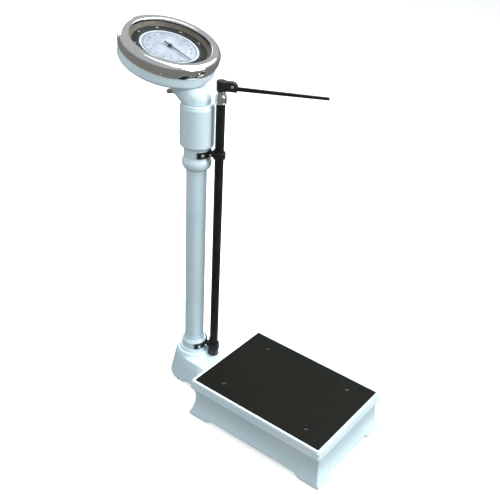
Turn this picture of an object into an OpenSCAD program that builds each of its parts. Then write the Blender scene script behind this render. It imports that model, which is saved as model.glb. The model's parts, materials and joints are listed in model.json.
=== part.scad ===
// Dial column person scale: lever base, weighing platform, column with a sprung dial head,
// and a telescopic height rod with a folding measuring arm.
// Millimetres, +Z up, origin on the floor under the middle of the whole scale, the person faces +Y.

/* [Platform] */
// Width of the rubber mat
mat_w = 256; // [240:1:270]
// Length of the rubber mat
mat_l = 363; // [350:1:380]
// Height of the mat's surface above the floor
platform_h = 107; // [100:1:115]
// Width of the raised rim round the mat
pan_rim = 6; // [4:0.5:8]
// Depth of the skirt of the pan
pan_skirt = 22; // [18:1:24]
// How much wider and longer the skirt is at its foot
pan_flare = 8; // [4:0.5:9]

/* [Base casting] */
// Width of the casting at the floor
base_w = 279.6; // [272:0.2:288]
// Length of the casting at the floor
base_l = 391; // [386:1:400]
// How far the side wall stands in above its flared foot
foot_flare = 12; // [8:1:14]
// Height of the arches between the feet
arch_h = 10; // [6:1:14]
// Height of the deck behind the platform
deck_h = 71; // [66:1:72]

/* [Column] */
// Radius of the column tube
column_r = 24.3; // [22:0.1:25]
// Height of the underside of the dial sleeve
sleeve_z = 654; // [650:1:660]
// Height of the top of the dial sleeve
sleeve_top = 757; // [752:1:760]
// Radius of the dial sleeve
sleeve_r = 40; // [36:0.5:41]

/* [Dial head] */
// Tilt of the dial towards the person
head_tilt = 16.93; // [15:0.01:18]
// Outer radius of the chrome bezel
bezel_r = 115; // [108:0.5:118]
// Radius of the silver dial
dial_r = 68; // [60:0.5:70]
// Length of the pointer from its shaft to its tip
pointer_l = 66; // [50:1:67]

/* [Height rod] */
// Radius of the black outer tube
rod_r = 10.45; // [10:0.05:11]
// Reach of the measuring arm from the rod's axis
arm_reach = 235; // [200:1:240]
// Direction of the measuring arm, turned from the front towards +X
arm_turn = 27.7; // [0:0.1:60]

/* [Hidden] */
$fn = 64;
eps = 0.01;
// Gap between parts that move past each other
gap = 0.4;

// Places along Y: the platform's centre and the column's axis
platform_y = -149;
column_y = 147.6;
base_y = platform_y - 3.5;
base_front = base_y - base_l / 2;
base_rear = base_y + base_l / 2;
base_wall = 5;
base_top = 89;
cavity_w = base_w - 2 * (foot_flare + base_wall);
cavity_l = base_l - 2 * (foot_flare + base_wall);
pad_t = 1.5;

// Lever system. Both levers turn by the same angle, and their load edges lie load_arm from the fulcrums.
fulcrum_y = 150;
load_arm = 36;
platform_travel = 2;
long_z = 35;
short_z = 55;
edge_side = 7;
edge_half = edge_side * sqrt(2) / 2;
long_arm = fulcrum_y + column_y - platform_y;
rod_travel = platform_travel * long_arm / load_arm;
long_plate_x = 88;
short_plate_x = 64;
lever_t = 8;
pin_r = 3;

// Column stack
boss_top = 83;
boss_r = 42;
foot_top = 123;
tube_bottom = 86;
tube_top = 742;
tube_wall = 2.5;
yoke_z = 644;
spring_r = 4;
spring_wire = 0.9;
spring_turns = 14;
spring_x = 12;

// Dial head, in its own frame: z along the dial's axis from the plane of the bezel's opening
head_y = 227.3;
head_z = 874.9;
case_r = 110.7;
case_inner_r = 105.3;
case_back = -54;
case_floor = -51.5;
neck_u = -38;
neck_disc_r = 45;
neck_r = 31;
pinion_r = 5.05;
pinion_teeth = 14;
tooth_pitch = 2 * PI * pinion_r / pinion_teeth;
tooth_depth = 1.3;
crank_arm = 40;
// The crank's forward arm falls from rod_dip below level to twice crank_half more, and its pin keeps to the rod's slot
rod_dip = 2;
crank_half = rod_travel / 2 / crank_arm * 180 / PI;
pin_arm = rod_travel / (sin(rod_dip + 2 * crank_half) - sin(rod_dip));
crank_y = 185;
crank_z = 782;
rod_pin_z = crank_z - pin_arm * sin(rod_dip);
crank_u = (crank_y - head_y) * cos(head_tilt) + (crank_z - head_z) * sin(head_tilt);
crank_w = (crank_z - head_z) * cos(head_tilt) - (crank_y - head_y) * sin(head_tilt);
rack_w = -30;
crank_up = rack_w - crank_w;
crank_x = 11;
crank_t = 4;
axle_half = 37;
neck_wall = 3.5;
zero_z = 760;

// Height rod
rod_x = 16.5;
rod_y = column_y - 53;
rod_reach = norm([rod_x, rod_y - column_y]);
rod_turn = atan2(rod_x, column_y - rod_y);
rod_bottom = 74;
cup_r = 13.2;
rod_top = 763;
collar_top = 782;
middle_r = 8.9;
inner_r = 7.2;
run_fit = 0.05;
block_z = 793;
block_h = 22;
arm_pivot = [25, 804.5];
arm_drop = 5;
lower_clamp_z = 99.5;
upper_clamp_z = 639.5;
clamp_h = 15;
clamp_spread = 66;

// Points of an arc, for outlines
function arc(cx, cy, r, a0, a1, n = 6) =
    [for (i = [0:n]) let (a = a0 + (a1 - a0) * i / n) [cx + r * cos(a), cy + r * sin(a)]];
// How far the base's side wall stands in at height z
function wall_inset(z) = foot_flare * (1 - pow(1 - min(1, max(0, (z - 5) / 50)), 2));

module at_platform() translate([0, platform_y, 0]) children();
module at_column() translate([0, column_y, 0]) children();
module at_rod() translate([rod_x, rod_y, 0]) children();
module at_head() translate([0, head_y, head_z]) rotate([head_tilt, 0, 0]) children();
module at_clamp() at_column() rotate([0, 0, rod_turn]) children();
module at_arm() at_rod() rotate([0, 0, arm_turn]) children();

// Flat slab with round corners
module slab(w, l, h, r) linear_extrude(h) rounded(w, l, r);
module rounded(w, l, r) {
    square([w - 2 * r, l], center = true);
    square([w, l - 2 * r], center = true);
    for (x = [-1, 1], y = [-1, 1]) translate([x * (w / 2 - r), y * (l / 2 - r)]) circle(r);
}
// Ring between two radii
module tube(r, r_in, h) difference() {
    cylinder(r = r, h = h);
    translate([0, 0, -1]) cylinder(r = r_in, h = h + 2);
}
// Round bar along X, centred
module bar_x(r, l) rotate([0, 90, 0]) cylinder(r = r, h = l, center = true);
module box(size) cube(size, center = true);

/* Base */
// Half of the wall's outline, from the middle line out to reach at the floor
module wall_outline(reach) {
    heights = [0, 5, 12, 20, 30, 42, 55, base_top];
    polygon(concat([[0, base_top], [0, 0]], [for (z = heights) [reach - wall_inset(z), z]]));
}
module wall_run(reach, length) rotate([90, 0, 0]) linear_extrude(length, center = true) {
    wall_outline(reach);
    mirror([1, 0]) wall_outline(reach);
}
module flared_block() intersection() {
    wall_run(base_w / 2, base_l + 10);
    rotate([0, 0, 90]) wall_run(base_l / 2, base_w + 10);
    translate([0, 0, -1]) slab(base_w, base_l, base_top + 2, 5);
}
// Slice across the rear extension, as a thin slab from the floor to the deck
module deck_slice(y, low_half, high_half, top) {
    translate([-low_half, y, 0]) cube([2 * low_half, 1, 1]);
    translate([-high_half, y, top - 1]) cube([2 * high_half, 1, 1]);
}
// Outer form of the extension, or with a wall taken off its cavity
module rear_extension(wall) {
    top = deck_h - wall;
    joint_y = column_y - 46;
    hull() {
        at_column() cylinder(r1 = 61.5 - wall, r2 = 47.5 - wall, h = top, $fn = 48);
        deck_slice(joint_y, 66 - wall, 46 - wall, top);
        deck_slice(base_rear - 12, 72 - wall, 52 - wall, top);
    }
    hull() {
        deck_slice(joint_y, 66 - wall, 46 - wall, top);
        deck_slice(base_rear - 12, 102 - wall, 60 - wall, top);
    }
}
// Opening between two feet, ramp is the length of its sloped ends
module arch(length, h, ramp) polygon([
    [-length / 2, -1], [-length / 2, 1], [-length / 2 + ramp * 0.55, h * 0.45], [-length / 2 + ramp, h],
    [length / 2 - ramp, h], [length / 2 - ramp * 0.55, h * 0.45], [length / 2, 1], [length / 2, -1]]);
module base_casting() color([0.80, 0.88, 0.92]) difference() {
    union() {
        translate([0, base_y, 0]) flared_block();
        rear_extension(0);
        at_column() translate([0, 0, deck_h]) cylinder(r1 = 47.5, r2 = boss_r, h = boss_top - deck_h);
    }
    // The casting stands pad_t off the floor, on its pads
    translate([-200, base_front - 10, -1]) cube([400, base_l + 220, 1 + pad_t]);
    translate([0, base_y, -1]) slab(cavity_w, cavity_l, base_top + 2, 6);
    translate([0, 0, -eps]) rear_extension(6);
    // The long lever's way through the rear wall
    translate([-44, base_rear - 30, -1]) cube([88, 40, 61]);
    translate([0, base_y, 0]) {
        rotate([90, 0, 90]) linear_extrude(base_w + 2, center = true) arch(285, arch_h, 16);
        rotate([90, 0, 0]) linear_extrude(base_l + 2, center = true) arch(176, arch_h, 14);
    }
    translate([0, column_y - 52, 0]) rotate([90, 0, 90]) linear_extrude(280, center = true) arch(76, arch_h, 10);
    at_column() {
        translate([0, 0, deck_h - 10]) cylinder(r = 12, h = 30);
        for (a = [45:90:359]) rotate([0, 0, a]) translate([27, 0, deck_h - 10]) cylinder(r = 4.3, h = 30);
    }
    // Room for the height rod's foot beside the boss
    at_rod() translate([0, 0, rod_bottom - 2.1]) cylinder(r = cup_r + 0.2, h = 30);
}
// Each pad's place and radius
pads = [[-125, base_front + 12, 8], [125, base_front + 12, 8], [-125, base_rear - 12, 8],
    [125, base_rear - 12, 8], [-58, column_y + 4, 3], [58, column_y + 4, 3]];
module foot_pad(i) color([0.1, 0.1, 0.1])
    translate([pads[i - 1].x, pads[i - 1].y, 0]) cylinder(r = pads[i - 1].z, h = pad_t);
// Bracket on the side wall that carries one end of a lever's fulcrum edge
module fulcrum_bracket(side, y, z, inner_x) color([0.45, 0.46, 0.48]) at_platform() mirror([side < 0 ? 1 : 0, 0, 0]) {
    wall_x = cavity_w / 2;
    seat = z - gap - 1;
    difference() {
        union() {
            translate([wall_x - 6, y - 16, 18]) cube([6, 32, z - 14]);
            translate([inner_x, y - 8, seat - 9]) cube([wall_x - inner_x - 5, 16, 12]);
        }
        // Seat for the knife edge, wider than the edge itself
        translate([0, y, z - gap - 0.2]) rotate([45, 0, 0]) cube([400, 12, 12]);
    }
}

/* Platform */
module platform_pan() color([0.84, 0.90, 0.93]) at_platform() {
    w = mat_w + 2 * pan_rim;
    l = mat_l + 2 * pan_rim;
    foot = platform_h - pan_skirt;
    difference() {
        hull() {
            translate([0, 0, platform_h - 1]) slab(w, l, 1, 7);
            translate([0, 0, foot]) slab(w + pan_flare, l + pan_flare, 1, 9);
        }
        translate([0, 0, platform_h - 3]) slab(mat_w + 0.4, mat_l + 0.4, 4, 3);
        hull() {
            translate([0, 0, platform_h - 7]) slab(w - 5, l - 5, 1, 5);
            translate([0, 0, foot - 1]) slab(w + pan_flare - 5, l + pan_flare - 5, 1, 7);
        }
        for (x = [-1, 1], y = [-1, 1]) translate([x * 89.5, y * 121, platform_h - 12]) cylinder(r = 3.2, h = 20);
    }
}
module platform_mat() color([0.07, 0.07, 0.07]) at_platform() difference() {
    translate([0, 0, platform_h - 3]) slab(mat_w, mat_l, 3, 3);
    for (x = [-1, 1], y = [-1, 1]) translate([x * 89.5, y * 121, platform_h - 4]) cylinder(r = 5.6, h = 6);
}
module mat_screws() color([0.2, 0.2, 0.2]) at_platform()
    for (x = [-1, 1], y = [-1, 1]) translate([x * 89.5, y * 121, 0]) {
        translate([0, 0, platform_h - 3]) cylinder(r = 5.4, h = 2);
        translate([0, 0, platform_h - 11]) cylinder(r = 3.1, h = 9);
    }
// Bearing post under the pan, with a notch that sits on a load edge at height z
module bearing_post(x, y, z) difference() {
    translate([x - 5, y - 7, z - 4]) cube([10, 14, platform_h - 6 - z + 4]);
    translate([x, y, z + gap + 0.2]) rotate([-135, 0, 0]) translate([-20, 0, 0]) cube([40, 16, 16]);
}
module pan_bearings() color([0.5, 0.51, 0.53]) at_platform() for (side = [-1, 1]) {
    bearing_post(side * (long_plate_x + 10), load_arm - fulcrum_y, long_z);
    bearing_post(side * (short_plate_x + 10), fulcrum_y - load_arm, short_z);
}

/* Levers, with the near end's edges towards sign -1 or 1 along Y */
module edge_bar(x0, x1, y, z) translate([(x0 + x1) / 2, y, z]) rotate([45, 0, 0]) box([abs(x1 - x0), edge_side, edge_side]);
// Straight arm between two points of the plan, h tall about height z
module arm_between(a, b, z, h) {
    length = norm(b - a);
    translate([a.x, a.y, z - h / 2]) rotate([0, 0, atan2(b.y - a.y, b.x - a.x)])
        translate([0, -lever_t / 2, 0]) cube([length, lever_t, h]);
}
// Fork of two cheeks with a pin across, at the plan's origin
module fork(half_gap, z) {
    for (x = [-1, 1]) translate([x * (half_gap + 2), 0, z]) box([4, 18, 12]);
    translate([0, 0, z]) bar_x(pin_r, 2 * half_gap + 2);
}
module lever_end(plate_x, toward, z) {
    fulcrum = toward * fulcrum_y;
    load = toward * (fulcrum_y - load_arm);
    mid = (fulcrum + load) / 2;
    for (x = [-1, 1]) {
        translate([x * plate_x, mid, z]) box([lever_t, load_arm + 16, 20]);
        edge_bar(x * plate_x, x * (plate_x + 18), fulcrum, z + edge_half);
        edge_bar(x * plate_x, x * (plate_x + 16), load, z - edge_half);
    }
    translate([0, mid, z]) box([2 * plate_x, lever_t, 10]);
}
module long_lever() color([0.42, 0.44, 0.46]) at_platform() {
    tip_y = column_y - platform_y;
    near = -(fulcrum_y - load_arm / 2);
    lever_end(long_plate_x, -1, long_z);
    for (x = [-1, 1]) {
        arm_between([x * (long_plate_x - 4), near], [x * 9, tip_y - 7], long_z, 9);
        // Half of the cross bar that the shackle's pin is in
        at = (long_plate_x - 4) - (long_plate_x - 13) * (-near) / (tip_y - 7 - near);
        translate([x > 0 ? 8 : -at, -4, long_z - 5]) cube([at - 8, 8, 10]);
    }
    translate([0, 0, long_z]) bar_x(pin_r, 20);
    translate([0, tip_y, 0]) fork(5, long_z);
}
module short_lever() color([0.46, 0.48, 0.50]) at_platform() {
    near = fulcrum_y - load_arm / 2;
    lever_end(short_plate_x, 1, short_z);
    for (x = [-1, 1]) arm_between([x * (short_plate_x - 4), near], [x * 9, 7], short_z, 9);
    fork(5, short_z);
}
module lever_shackle() color([0.6, 0.6, 0.6]) at_platform() difference() {
    union() {
        for (z = [long_z, short_z]) translate([0, 0, z]) bar_x(7, 6);
        translate([-3, -5, long_z]) cube([6, 10, short_z - long_z]);
    }
    for (z = [long_z, short_z]) translate([0, 0, z]) bar_x(pin_r + 0.7, 8);
}

/* Draw rod and springs */
module draw_rod() color([0.7, 0.7, 0.72]) at_column() {
    difference() {
        union() {
            translate([0, 0, long_z]) bar_x(7.5, 6);
            translate([0, 0, long_z + 5]) cylinder(r = 3, h = yoke_z - long_z - 5);
        }
        translate([0, 0, long_z]) bar_x(pin_r + 1, 8);
    }
    translate([0, 0, yoke_z - 1]) cylinder(r = 2.5, h = 8);
    translate([0, 0, yoke_z + 6]) cylinder(r = 3, h = rod_pin_z - 4 - yoke_z - 6);
    // Slotted head for the bell crank's pin
    difference() {
        translate([0, -1, rod_pin_z]) box([5, 17, 10]);
        translate([0, -1.2, rod_pin_z]) box([7, 12.8, 5]);
    }
}
module spring_yoke() color([0.62, 0.6, 0.5]) at_column() translate([0, 0, yoke_z]) difference() {
    translate([0, 0, 3]) box([36, 12, 6]);
    translate([0, 0, -1]) cylinder(r = 2.5, h = 8);
}
module spring(side) color([0.75, 0.76, 0.78]) at_column() translate([side * spring_x, 0, yoke_z + 6])
    linear_extrude(tube_top - yoke_z - 6, twist = -360 * spring_turns, slices = 14 * spring_turns, $fn = 8)
        translate([spring_r - spring_wire, 0]) circle(spring_wire);
module spring_hanger() color([0.6, 0.58, 0.48]) at_column() translate([0, 0, tube_top]) {
    tube(26, 5, 6);
    // Tab that the zero screw bears on
    translate([-5, 9, 6]) cube([10, 4, zero_z - tube_top - 1]);
}

/* Column */
module column_foot() color([0.80, 0.88, 0.92]) at_column() difference() {
    rotate_extrude() polygon(concat([[10, boss_top], [36, boss_top], [36.5, boss_top + 2]],
        [[35, boss_top + 6], [31, boss_top + 7.5], [31, 107.5]],
        arc(29.5 - 5, 107.5, 5.3, 0, 35, 3), [[27, 115], [25.6, foot_top], [20, foot_top], [10, foot_top]]));
    translate([0, 0, tube_bottom]) cylinder(r = column_r, h = 60);
    for (a = [45:90:359]) rotate([0, 0, a]) translate([27, 0, boss_top - 1]) cylinder(r = 3.3, h = 3.5);
}
module column_bolts() color([0.55, 0.56, 0.58]) at_column() for (a = [45:90:359]) rotate([0, 0, a])
    translate([27, 0, 0]) {
        translate([0, 0, deck_h - 6 - 5.5]) cylinder(r = 6.4, h = 5.5, $fn = 6);
        translate([0, 0, deck_h - 6]) cylinder(r = 3.2, h = boss_top + 2 - deck_h + 6);
    }
module column_tube() color([0.78, 0.87, 0.92]) at_column() translate([0, 0, tube_bottom])
    tube(column_r, column_r - tube_wall, tube_top - tube_bottom);
bulge_z = 615;
module column_collar() color([0.80, 0.88, 0.92]) at_column() rotate_extrude() polygon(concat(
    [[column_r, sleeve_z], [column_r, bulge_z - 17]], [for (a = [-80:13.3:0]) [24.5 + 10.5 * cos(a), bulge_z + 17 * sin(a)]],
    [for (i = [1:6]) [32.5 + 2.5 * cos(30 * i), bulge_z + 2.8 * i]], [[30, sleeve_z]]));
sleeve_flat = 38.4;
module head_sleeve() color([0.80, 0.88, 0.92]) at_column() difference() {
    rotate_extrude() polygon(concat([[column_r, sleeve_z]], arc(sleeve_r - 7, sleeve_z + 7, 7, -80, 0, 5),
        [[sleeve_r, sleeve_top - 9], [36, sleeve_top], [26.5, sleeve_top], [26.5, tube_top], [column_r, tube_top],
        [column_r, tube_top - 8], [29, tube_top - 10], [29, sleeve_z + 12], [column_r, sleeve_z + 10]]));
    // Flat face towards the height rod
    rotate([0, 0, rod_turn]) translate([0, -sleeve_flat - 10, sleeve_z + 50]) box([80, 20, 200]);
    at_sleeve_screws() cylinder(r = 3, h = 8);
}
// Two grub screws behind the sleeve
module at_sleeve_screws() for (a = [60, 120]) rotate([0, 0, a])
    translate([sleeve_r - 5, 0, sleeve_z + 26]) rotate([0, 90, 0]) children();
module sleeve_screws() color([0.75, 0.76, 0.78]) at_column() at_sleeve_screws() cylinder(r = 3, h = 5.6);
module neck_form(inset, low) hull() {
    at_column() translate([0, 4, low]) cylinder(r = neck_r + 3 - inset, h = 3, $fn = 40);
    at_column() translate([0, 0, 763]) sphere(r = neck_r + 0.5 - inset, $fn = 40);
    at_head() translate([0, neck_u, case_back - 6]) cylinder(r = neck_disc_r - inset, h = 8, $fn = 40);
}
module head_neck() color([0.80, 0.88, 0.92]) difference() {
    neck_form(0, sleeve_top);
    neck_form(neck_wall, sleeve_top - 4);
    translate([-60, 0, sleeve_top - 60]) cube([120, 300, 60]);
    at_head() translate([-150, -150, case_back]) cube([300, 300, 60]);
    translate([0, column_y + 14, zero_z]) rotate([-90, 0, 0]) cylinder(r = 2.5 + run_fit, h = 80);
    translate([0, crank_y, crank_z]) bar_x(2, 2 * axle_half + 0.6);
}

/* Dial head */
module head_case() color([0.80, 0.88, 0.92]) at_head() difference() {
    rotate_extrude() polygon(concat([[0, case_back]], arc(case_r - 10, case_back + 10, 10, -90, 0, 6),
        [[case_r, -26], [107.8, -26], [107.8, -17], [case_inner_r, -17], [case_inner_r, -44],
        [98, case_floor], [0, case_floor]]));
    // Way through for the crank and the draw rod
    translate([-19, -104, case_back - 1]) cube([38, 66, 6]);
    for (p = neck_screw_places) translate([p.x, p.y, case_back - 1]) cylinder(r = 2.6, h = 6);
}
neck_screw_places = [[-29, -60], [29, -60], [-24, -10], [24, -10]];
module case_screws() color([0.7, 0.7, 0.72]) at_head() for (p = neck_screw_places) translate([p.x, p.y, 0]) {
    translate([0, 0, case_back]) cylinder(r = 2.5, h = case_floor - case_back);
    translate([0, 0, case_floor]) cylinder(r = 4.5, h = 3);
}
module head_bezel() color([0.86, 0.87, 0.88]) at_head() difference() {
    rotate_extrude() polygon(concat(
        [[case_r - 2.7, -26], [bezel_r - 3, -26], [bezel_r - 0.4, -18]], arc(bezel_r - 13, -9.2, 13, 0, 90, 7),
        [[96, 4], [92.7, 3.4], [92.2, 2.3], [92.2, -1], [96.3, -1], [96.3, -3.8], [case_r - 2.7, -3.8]]));
    at_bezel_screws() cylinder(r = 2.2, h = 8);
}
// The bezel's screws, turned from +X
bezel_screw_turns = [35, 145, 215, 325];
module at_bezel_screws() for (a = bezel_screw_turns) rotate([0, 0, a])
    translate([bezel_r - 2.6, 0, -21]) rotate([0, 90, 0]) children();
module bezel_screws() color([0.8, 0.8, 0.82]) at_head() at_bezel_screws() cylinder(r = 2.2, h = 2.9);
module dial_glass() color([0.8, 0.9, 0.9, 0.3]) at_head() translate([0, 0, -3.5]) cylinder(r = 96, h = 2.4);
module dial_ring() color([0.05, 0.05, 0.05]) at_head() rotate_extrude() polygon([
    [62, -17], [62, -14.7], [dial_r, -14.7], [dial_r, -11.7], [85, -11.7], [91.5, -3.8], [94, -3.8],
    [94, -14.7], [107.5, -14.7], [107.5, -17]]);
module dial_plate() color([0.82, 0.86, 0.88]) at_head() translate([0, 0, -14.7]) tube(dial_r - 0.3, 3, 1.5);
module movement_frame() color([0.7, 0.62, 0.35]) at_head() {
    for (x = [-1, 1]) translate([x * 26, 0, case_floor]) cylinder(r = 3, h = -14.7 - case_floor);
    difference() {
        translate([0, 0, -42.5]) box([70, 16, 3]);
        translate([0, 0, -45]) cylinder(r = 2 + run_fit, h = 6);
        for (x = [-1, 1]) translate([x * 26, 0, -45]) cylinder(r = 2.5, h = 6);
    }
    translate([pinion_r + 6.5, 5, -44]) cube([4, 8, 18]);
}
module movement_bridge() color([0.72, 0.64, 0.38]) at_head() translate([0, 0, -22]) difference() {
    translate([0, 0, 1]) box([62, 12, 2]);
    translate([0, 0, -1]) cylinder(r = 2 + run_fit, h = 4);
    for (x = [-1, 1]) translate([x * 26, 0, -1]) cylinder(r = 3, h = 4);
}
// Two arms from the hub: one forward to the draw rod, one up to the rack
module bell_crank() color([0.66, 0.6, 0.4]) translate([crank_x, crank_y, crank_z]) {
    translate([crank_t / 2, 0, 0]) bar_x(5, crank_t + 1);
    rotate([rod_dip, 0, 0]) {
        translate([0, -pin_arm - 3, -3]) cube([crank_t, pin_arm, 6]);
        translate([-6, -pin_arm, 0]) bar_x(1.5, 20);
    }
    rotate([head_tilt - crank_half, 0, 0]) {
        translate([0, -3.5, 3]) cube([crank_t, 7, crank_up]);
        translate([-2, 0, crank_up]) bar_x(1.5, 10);
    }
    translate([-crank_x, 0, 0]) bar_x(1.9, 2 * axle_half);
}
// Gear tooth as a flat outline, tip along +X
module tooth(root, tip, depth) polygon([[-0.4, -root / 2], [0, -root / 2], [depth, -tip / 2], [depth, tip / 2],
    [0, root / 2], [-0.4, root / 2]]);
module dial_rack() color([0.75, 0.7, 0.5]) at_head() {
    start = crank_u + crank_up * sin(crank_half);
    teeth_from = -4;
    base_x = pinion_r + tooth_depth / 2 + 0.35;
    translate([base_x, start + 3, rack_w - 3]) cube([4, 41 - start, 6]);
    translate([0, 0, rack_w - 3]) linear_extrude(6) for (i = [teeth_from:9])
        translate([base_x, (i + 0.5) * tooth_pitch]) mirror([1, 0])
            tooth(tooth_pitch * 0.38, tooth_pitch * 0.16, tooth_depth);
    difference() {
        translate([base_x, start - 5.5, rack_w - 8]) cube([4, 11, 14]);
        translate([base_x - 1, start - 2.1, rack_w - 5]) cube([6, 4.2, 8]);
    }
}
module pinion_shaft() color([0.72, 0.68, 0.5]) at_head() {
    translate([0, 0, -44]) cylinder(r = 2, h = 34);
    translate([0, 0, rack_w - 3.5]) linear_extrude(7) {
        circle(pinion_r - tooth_depth / 2 - 0.35);
        for (i = [0:pinion_teeth - 1]) rotate([0, 0, i * 360 / pinion_teeth])
            translate([pinion_r - tooth_depth / 2 - 0.35, 0])
                tooth(tooth_pitch * 0.38, tooth_pitch * 0.16, tooth_depth);
    }
}
module dial_pointer() color([0.04, 0.04, 0.04]) at_head() {
    translate([0, 0, -10]) cylinder(r = 5, h = 2.6);
    translate([0, 0, -9.6]) linear_extrude(1)
        polygon([[-2.6, 0], [-0.7, -pointer_l], [0.7, -pointer_l], [2.6, 0], [1.8, 17], [-1.8, 17]]);
}
module zero_knob() color([0.72, 0.66, 0.5]) translate([0, 0, zero_z]) {
    knob_y = head_y + 6;
    translate([0, column_y + 13.4, 0]) rotate([-90, 0, 0]) cylinder(r = 2.5, h = knob_y - column_y - 13.4);
    translate([0, knob_y, 0]) sphere(r = 6);
    translate([0, knob_y - 8, 0]) rotate([-90, 0, 0]) cylinder(r = 3.8, h = 4);
}

/* Height rod's brackets. ring_r is the radius of the collar that the strap goes round. */
module clamp_bracket(ring_r) at_clamp() difference() {
    union() {
        rotate([0, 0, -90 - clamp_spread]) rotate_extrude(angle = 2 * clamp_spread)
            translate([ring_r, -clamp_h / 2]) square([3.5, clamp_h]);
        translate([-6.5, -rod_reach + 12, -6]) cube([13, rod_reach - 12 - ring_r - 1.5, 12]);
        translate([0, -rod_reach, -clamp_h / 2]) cylinder(r = 14.5, h = clamp_h);
    }
    translate([0, -rod_reach, -clamp_h]) cylinder(r = rod_r, h = 3 * clamp_h);
    translate([0, 0, -clamp_h]) cylinder(r = ring_r, h = 3 * clamp_h);
    translate([0, clamp_screw_y, 0]) bar_x(2 + run_fit, 60);
}
clamp_screw_y = -37.5;
module lower_bracket() color([0.06, 0.06, 0.07]) translate([0, 0, lower_clamp_z]) clamp_bracket(31);
module upper_bracket() color([0.06, 0.06, 0.07]) translate([0, 0, upper_clamp_z]) clamp_bracket(30);
module bracket_screws() color([0.85, 0.85, 0.87]) for (c = [[lower_clamp_z, 34.5], [upper_clamp_z, 33.5]])
    translate([0, 0, c[0]]) at_clamp() for (a = [-44, 44])
        rotate([0, 0, a]) translate([0, -c[1], 0]) rotate([90, 0, 0]) cylinder(r1 = 4, r2 = 3.2, h = 2);
// Screw across the bracket, with two wings on its head
module wing_screw(z, turn) color([0.07, 0.07, 0.08]) translate([0, 0, z]) at_clamp()
    translate([0, clamp_screw_y, 0]) rotate([turn, 0, 0]) {
        translate([9.5, 0, 0]) bar_x(2, 43);
        translate([25.5, 0, 0]) bar_x(4.5, 8);
        translate([31, 0, 0]) box([3, 5, 27]);
    }

/* Height rod */
module rod_tube() color([0.06, 0.06, 0.07]) at_rod() translate([0, 0, rod_bottom])
    tube(rod_r, middle_r + gap, rod_top - rod_bottom);
module rod_foot_cup() color([0.06, 0.06, 0.07]) at_rod() difference() {
    translate([0, 0, rod_bottom - 2]) cylinder(r = cup_r, h = 18);
    translate([0, 0, rod_bottom]) cylinder(r = rod_r, h = 40);
}
module rod_collar() color([0.82, 0.83, 0.85]) at_rod() translate([0, 0, rod_top]) tube(13, middle_r + run_fit, collar_top - rod_top);
module rod_middle() color([0.8, 0.81, 0.83]) at_rod() translate([0, 0, 80])
    tube(middle_r, inner_r + gap, collar_top - 80);
module middle_collar() color([0.82, 0.83, 0.85]) at_rod() translate([0, 0, collar_top + 0.3]) tube(10.2, inner_r + run_fit, 10);
module rod_inner() color([0.8, 0.81, 0.83]) at_rod() translate([0, 0, 86]) {
    tube(inner_r, inner_r - 1.2, block_z + 12 - 86);
}
module arm_block() color([0.05, 0.05, 0.06]) at_arm() difference() {
    union() {
        translate([0, 0, block_z]) cylinder(r = 11, h = block_h);
        // Body with a round nose over the pivot
        translate([-7, 0, block_z]) rotate([90, 0, 90]) linear_extrude(14)
            polygon(concat([[0, 0], [-36, 0]], arc(-24, block_h - 13, 12, 180, 90, 8), [[0, block_h - 1]]));
    }
    translate([0, 0, block_z - 1]) cylinder(r = inner_r + run_fit, h = 14);
    // Slot that the arm folds in, open below and in front
    translate([-3.4, -50, block_z - 1]) cube([6.8, 38, arm_pivot.y + 6 - block_z + 1]);
    translate([0, -arm_pivot.x, arm_pivot.y]) bar_x(2.5, 20);
}
module arm_pivot_screw() color([0.85, 0.85, 0.87]) at_arm() translate([0, -arm_pivot.x, arm_pivot.y]) {
    bar_x(2.5, 14);
    for (x = [-1, 1]) translate([x * 7.6, 0, 0]) bar_x(3.6, 1.2);
}
module measuring_arm() color([0.05, 0.05, 0.06]) at_arm() difference() {
    union() {
        translate([0, -arm_pivot.x, arm_pivot.y]) bar_x(5, 6);
        // The bar hangs arm_drop below the pivot
        translate([-3, 0, 0]) rotate([90, 0, 90]) translate([-arm_pivot.x, arm_pivot.y - arm_drop])
            linear_extrude(6) polygon([[5, arm_drop], [4, -3.5], [1, -4.5], [3 - arm_reach + arm_pivot.x, -2.8],
                [arm_pivot.x - arm_reach, 0], [3 - arm_reach + arm_pivot.x, 3.2], [-14, 4.2], [-4, arm_drop + 3]]);
    }
    translate([0, -arm_pivot.x, arm_pivot.y]) bar_x(2.5 + run_fit, 8);
}

base_casting();
foot_pad(1);  // foot_pad_1
foot_pad(2);  // foot_pad_2
foot_pad(3);  // foot_pad_3
foot_pad(4);  // foot_pad_4
foot_pad(5);  // foot_pad_5
foot_pad(6);  // foot_pad_6
fulcrum_bracket(-1, -fulcrum_y, long_z, long_plate_x + 9);  // fulcrum_bracket_1
fulcrum_bracket(1, -fulcrum_y, long_z, long_plate_x + 9);  // fulcrum_bracket_2
fulcrum_bracket(-1, fulcrum_y, short_z, short_plate_x + 9);  // fulcrum_bracket_3
fulcrum_bracket(1, fulcrum_y, short_z, short_plate_x + 9);  // fulcrum_bracket_4
platform_pan();
platform_mat();
mat_screws();
pan_bearings();
long_lever();
short_lever();
lever_shackle();
draw_rod();
spring_yoke();
spring(-1);  // spring_1
spring(1);  // spring_2
spring_hanger();
column_foot();
column_bolts();
column_tube();
column_collar();
head_sleeve();
sleeve_screws();
head_neck();
head_case();
case_screws();
head_bezel();
bezel_screws();
dial_glass();
dial_ring();
dial_plate();
movement_frame();
movement_bridge();
bell_crank();
dial_rack();
pinion_shaft();
dial_pointer();
zero_knob();
lower_bracket();
upper_bracket();
bracket_screws();
wing_screw(lower_clamp_z, 0);  // lower_wing_screw
wing_screw(upper_clamp_z, 50);  // upper_wing_screw
rod_tube();
rod_foot_cup();
rod_collar();
rod_middle();
middle_collar();
rod_inner();
arm_block();
arm_pivot_screw();
measuring_arm();
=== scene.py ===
import json
from math import atan2, cos, pi, radians, sin

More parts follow.
